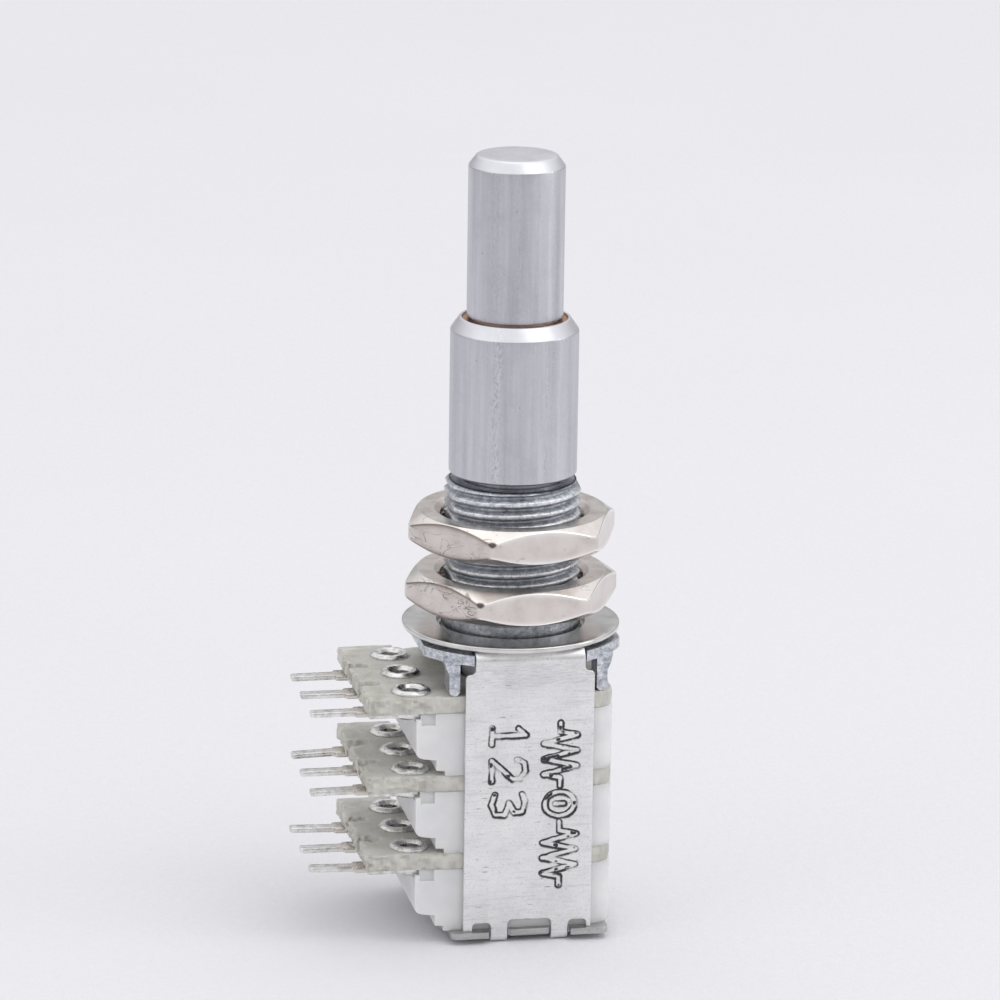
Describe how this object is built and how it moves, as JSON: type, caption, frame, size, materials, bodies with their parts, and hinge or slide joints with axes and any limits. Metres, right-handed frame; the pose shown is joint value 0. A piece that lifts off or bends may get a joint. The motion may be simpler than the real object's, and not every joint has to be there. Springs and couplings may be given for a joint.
{
  "type": "stacked dual-concentric potentiometer",
  "caption": "Stacked rotary potentiometer: hollow and solid concentric shafts in a threaded bushing with nuts, above boards, plastic housings and a folded bracket.",
  "frame": {"origin": "the shaft axis at the panel face, where the washer lies on the bracket's top", "axes": "+Z along the shafts towards the knobs, -X towards the terminals, -Y towards the front leg of the bracket"},
  "size_m": [0.0202, 0.0136, 0.0489],
  "materials": {
    "zinc_casting": "cast zinc alloy, satin grey",
    "tin_sheet": "tin-plated steel sheet, fine scratches",
    "nickel": "nickel plate, lightly pitted",
    "shaft_metal": "turned and satin",
    "bronze": "turned bronze",
    "spring_bronze": "rolled strip",
    "clip_steel": "oiled spring steel",
    "board": "glass-epoxy laminate with broken-out edges",
    "ink": "printed carbon ink",
    "tin": "tin plate",
    "white_plastic": "moulded, slightly translucent",
    "rotor_plastic": "moulded"
  },
  "bodies": {
    "frame": {"bushing": "zinc_casting", "bracket": "tin_sheet", "rear_plate": "tin_sheet", "washer": "nickel", "board_1": "board", "board_2": "board", "board_3": "board", "track_1": "ink", "track_2": "ink", "track_3": "ink", "terminals_1": "tin", "terminals_2": "tin", "terminals_3": "tin", "eyelets_1": "tin", "eyelets_2": "tin", "eyelets_3": "tin", "housing_1": "white_plastic", "housing_2": "white_plastic", "housing_3": "white_plastic"},
    "outer_spindle": {"outer_shaft": "shaft_metal", "bearing_ring": "bronze", "outer_clip": "clip_steel", "rotor_1": "rotor_plastic", "rotor_2": "rotor_plastic", "wiper_1": "spring_bronze", "wiper_2": "spring_bronze"},
    "inner_spindle": {"inner_shaft": "shaft_metal", "inner_clip": "clip_steel", "rotor_3": "rotor_plastic", "wiper_3": "spring_bronze"},
    "lower_nut": {"lower_nut": "nickel"},
    "upper_nut": {"upper_nut": "nickel"}
  },
  "joints": [
    {"name": "outer_shaft_turn", "type": "hinge", "parent": "frame", "child": "outer_spindle", "pos_m": [0, 0, 0.014], "axis": [0, 0, 1], "range_deg": [-150, 150]},
    {"name": "inner_shaft_turn", "type": "hinge", "parent": "frame", "child": "inner_spindle", "pos_m": [0, 0, 0.024], "axis": [0, 0, 1], "range_deg": [-150, 150]},
    {"name": "lower_nut_turn", "type": "hinge", "parent": "frame", "child": "lower_nut", "pos_m": [0, 0, 0.0025], "axis": [0, 0, 1], "continuous": true},
    {"name": "upper_nut_turn", "type": "hinge", "parent": "frame", "child": "upper_nut", "pos_m": [0, 0, 0.0064], "axis": [0, 0, 1], "continuous": true}
  ]
}
